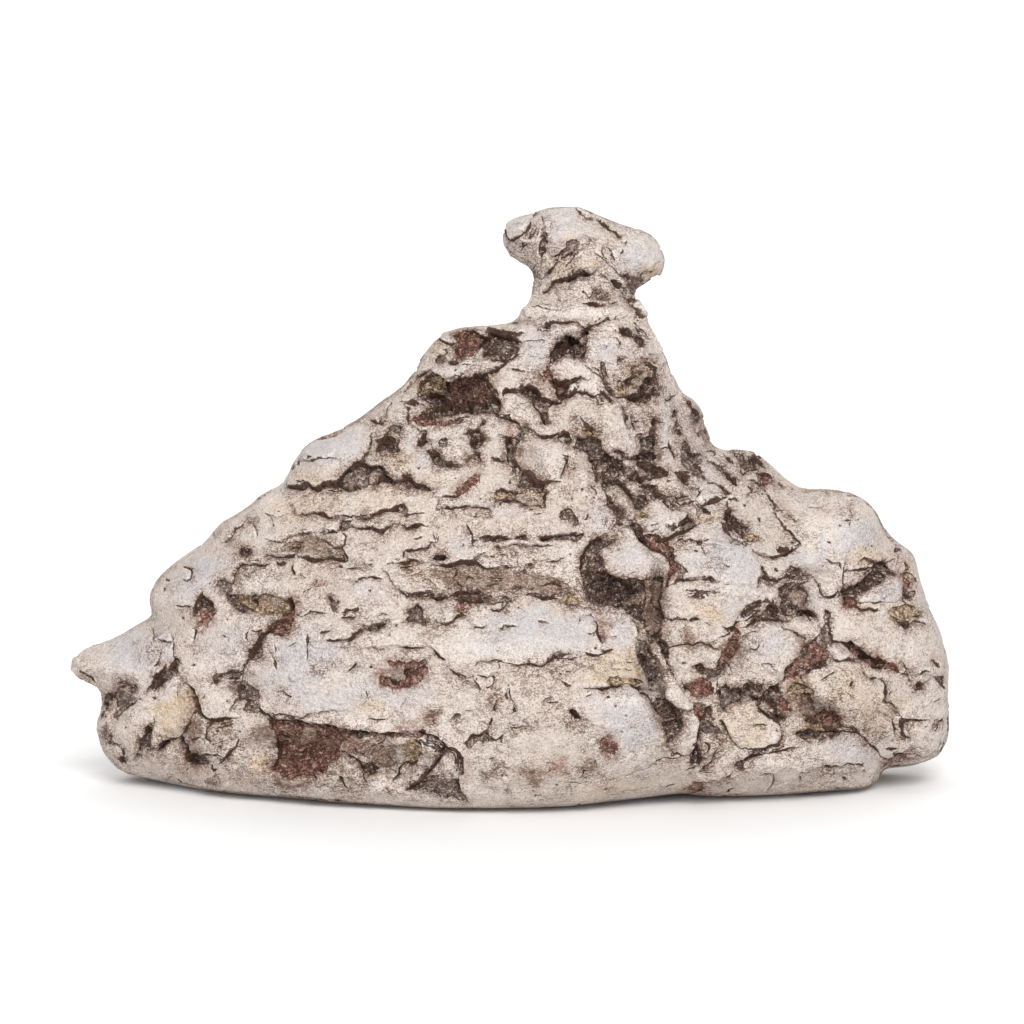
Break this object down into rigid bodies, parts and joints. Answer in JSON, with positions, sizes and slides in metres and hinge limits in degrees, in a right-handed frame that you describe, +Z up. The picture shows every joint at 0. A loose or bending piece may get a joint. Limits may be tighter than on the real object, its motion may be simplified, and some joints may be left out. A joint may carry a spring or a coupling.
{
  "type": "iron meteorite",
  "caption": "Craggy wedge-shaped iron meteorite with a narrow neck and knob on top, layered ledges, cobbled lumps and rust-lined hollows; it stands on its flat underside.",
  "frame": {"origin": "on the flat underside, under the middle of the bounding box", "axes": "+Z up, +X to the right of the broad front face along the longest side, +Y from the front face to the back"},
  "size_m": [0.1082, 0.0586, 0.0724],
  "materials": {
    "crust": "pale weathered crust with dark crevices and rust-brown hollows, matte to satin"
  },
  "bodies": {
    "root": {"meteorite": "crust"}
  },
  "joints": []
}
